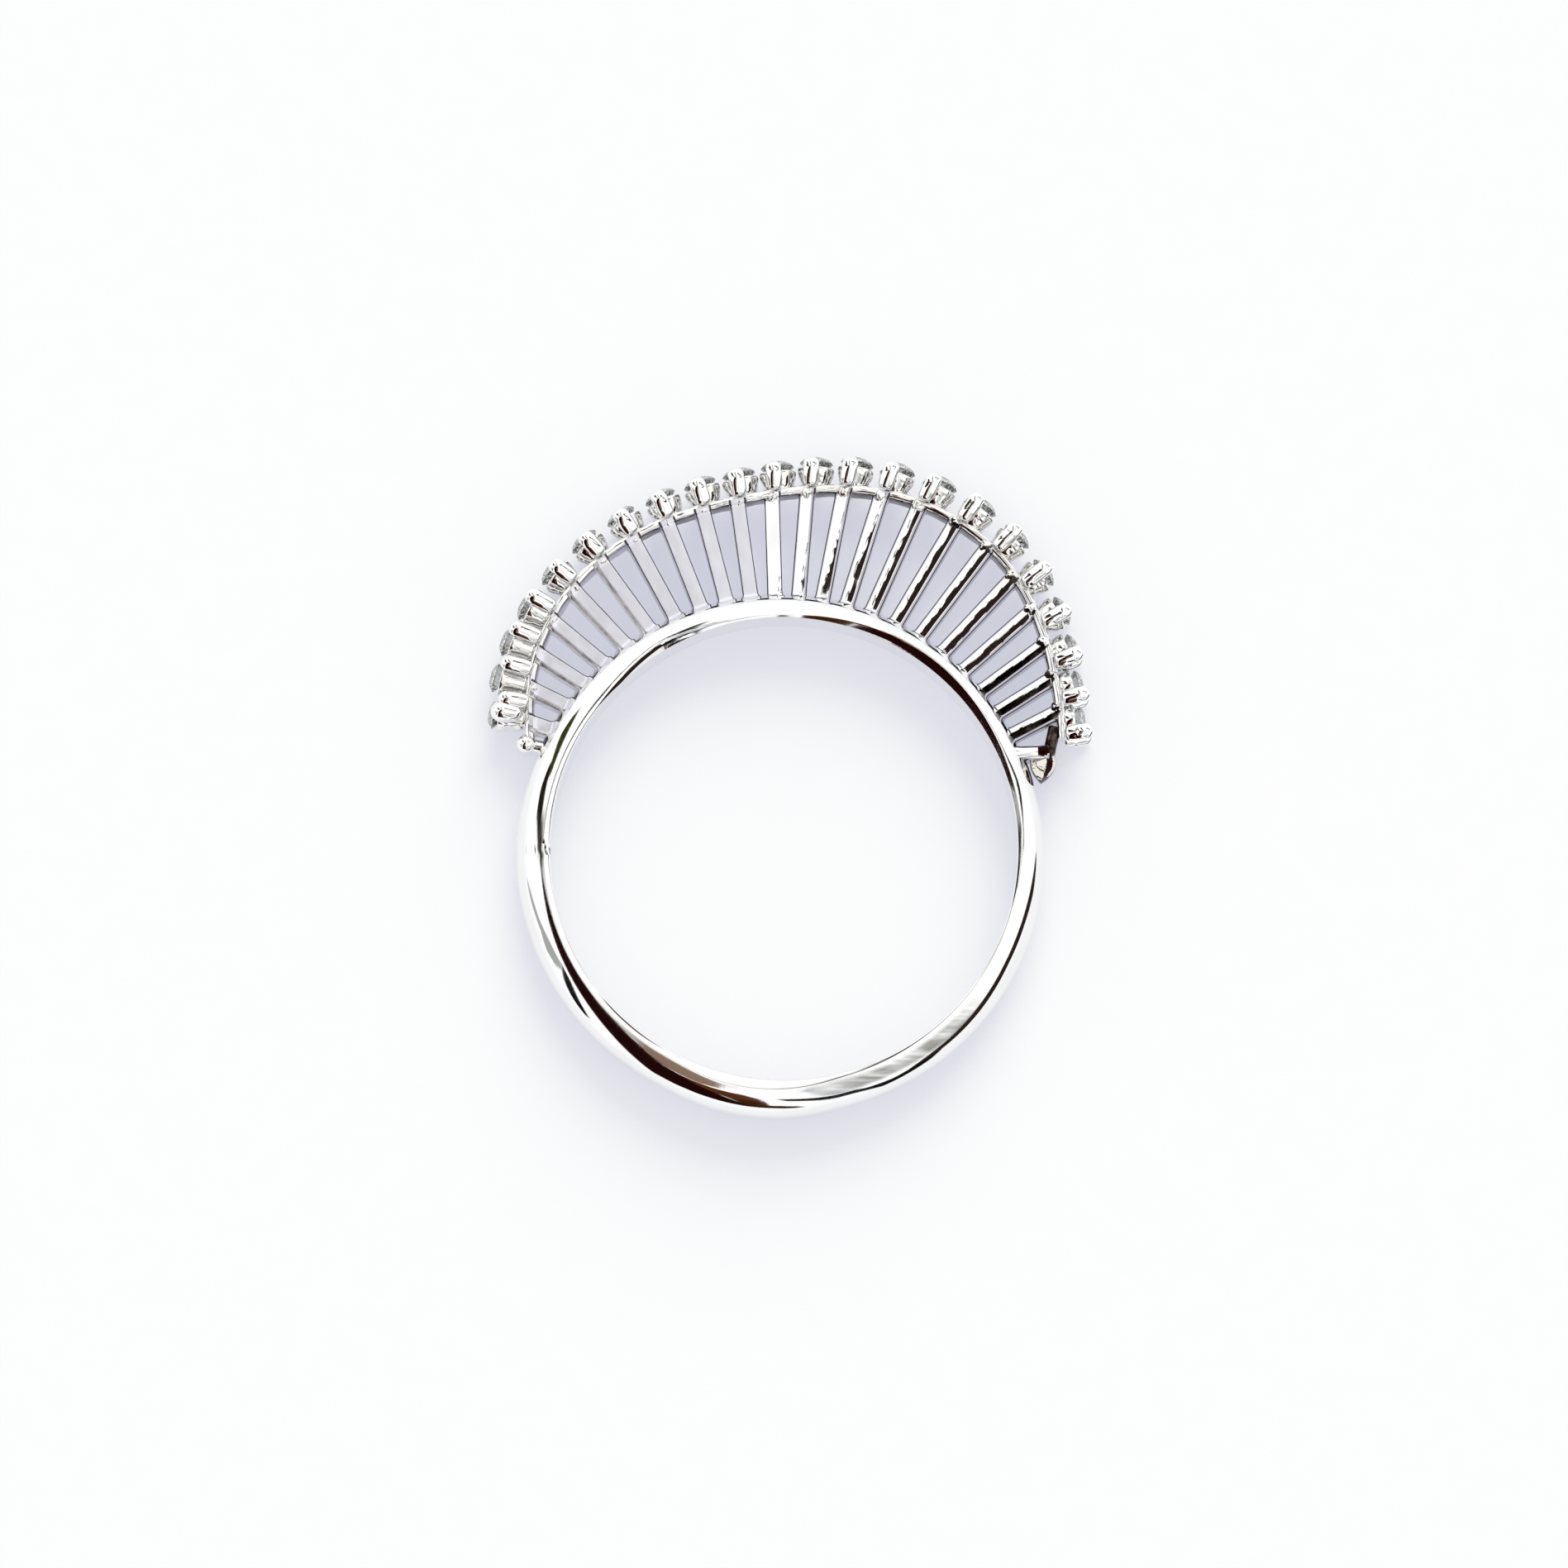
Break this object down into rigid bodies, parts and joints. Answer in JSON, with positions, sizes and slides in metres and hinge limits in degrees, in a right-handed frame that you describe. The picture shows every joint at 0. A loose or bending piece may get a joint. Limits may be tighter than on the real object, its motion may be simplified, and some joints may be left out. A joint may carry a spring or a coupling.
{
  "type": "diamond ring",
  "caption": "Half-eternity ring: a plain half-round band with a fan of thin bars carrying a curved row of claw-set round brilliants.",
  "frame": {"origin": "centre of the finger hole, halfway across the band", "axes": "+Z along the axis of the finger hole, up as the ring lies on its side; +Y from the hole to the row of stones; +X to the right end of the row, the end with the leaf"},
  "size_m": [0.0222, 0.0246, 0.002],
  "materials": {
    "metal": "polished",
    "diamond": "polished facets"
  },
  "bodies": {
    "root": {"mounting": "metal", "stone_01": "diamond", "stone_02": "diamond", "stone_03": "diamond", "stone_04": "diamond", "stone_05": "diamond", "stone_06": "diamond", "stone_07": "diamond", "stone_08": "diamond", "stone_09": "diamond", "stone_10": "diamond", "stone_11": "diamond", "stone_12": "diamond", "stone_13": "diamond", "stone_14": "diamond", "stone_15": "diamond", "stone_16": "diamond", "stone_17": "diamond", "stone_18": "diamond", "stone_19": "diamond", "stone_20": "diamond", "stone_21": "diamond", "stone_22": "diamond"}
  },
  "joints": []
}
